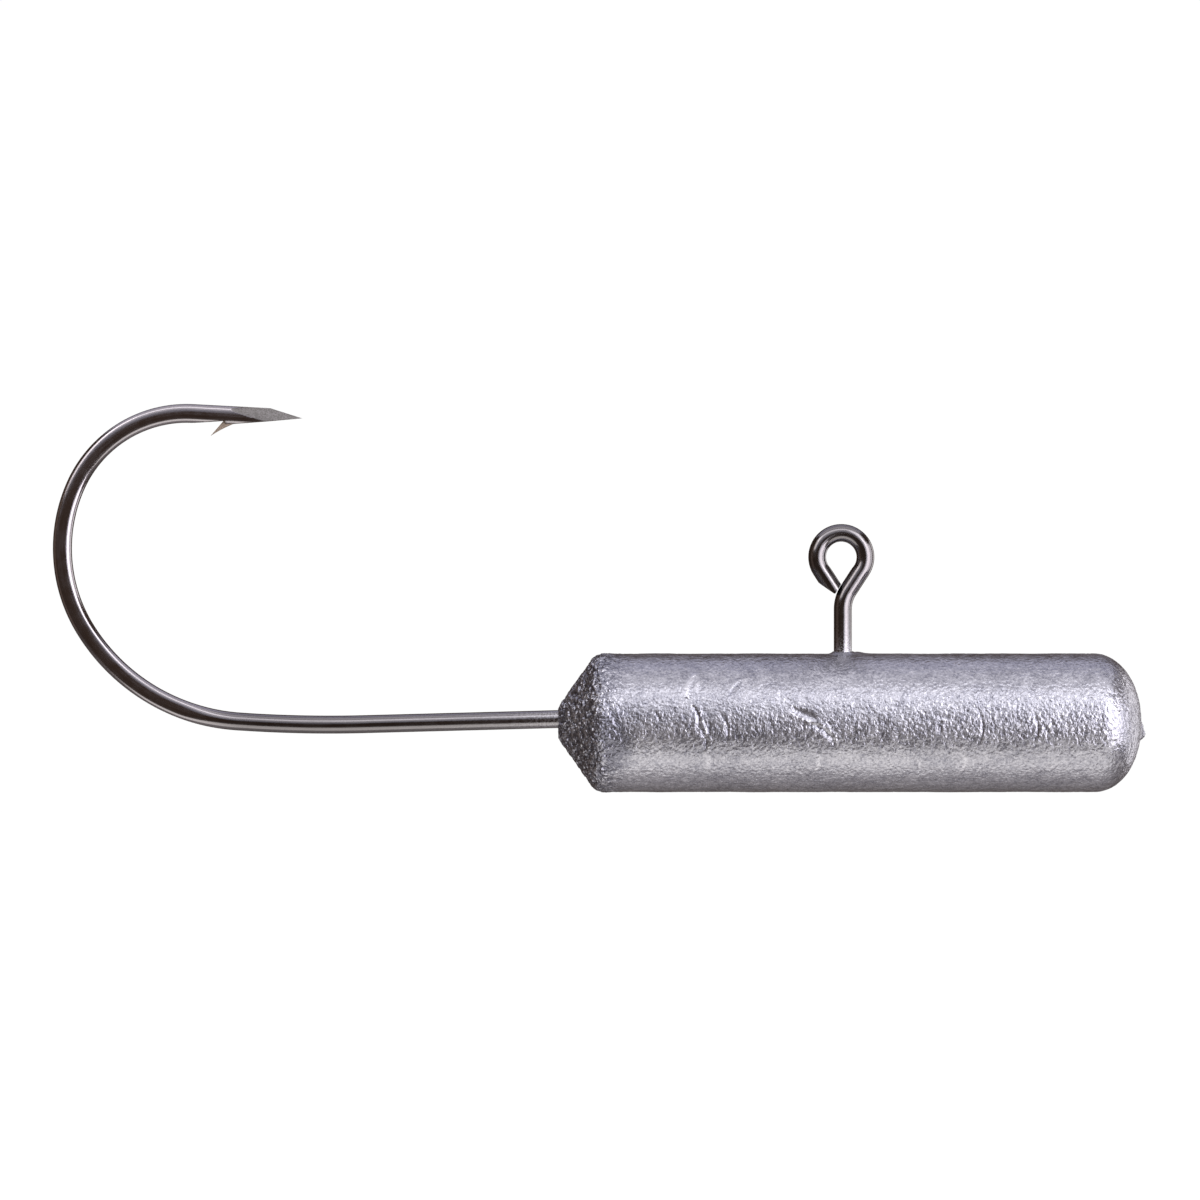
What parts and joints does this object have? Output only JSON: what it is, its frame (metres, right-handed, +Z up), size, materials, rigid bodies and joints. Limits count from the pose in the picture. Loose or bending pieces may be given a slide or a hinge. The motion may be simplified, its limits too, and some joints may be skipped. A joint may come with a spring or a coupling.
{
  "type": "jig head",
  "caption": "Fishing jig head: a plain lead cylinder with a tapered tail and rounded nose, cast round a black-nickel jig hook whose leg and closed line eye stand up from the lead.",
  "frame": {"origin": "centre of the line eye, which is also the centre of its bore", "axes": "+X along the lead towards its nose, away from the hook's bend; +Y through the line eye, square to the plane of the hook; +Z up out of the lead through the leg and the eye, the side that the hook's point is on"},
  "size_m": [0.0728, 0.0092, 0.0259],
  "materials": {
    "black_nickel": "high-carbon steel wire with a bright black-nickel plating, brown-black with pale edges, and matte where the point is ground",
    "cast_lead": "raw cast lead, grey with a faint blue tint, pitted and rough in patches, burnished and nicked by handling"
  },
  "bodies": {
    "root": {"hook": "black_nickel", "lead_head": "cast_lead"}
  },
  "joints": []
}
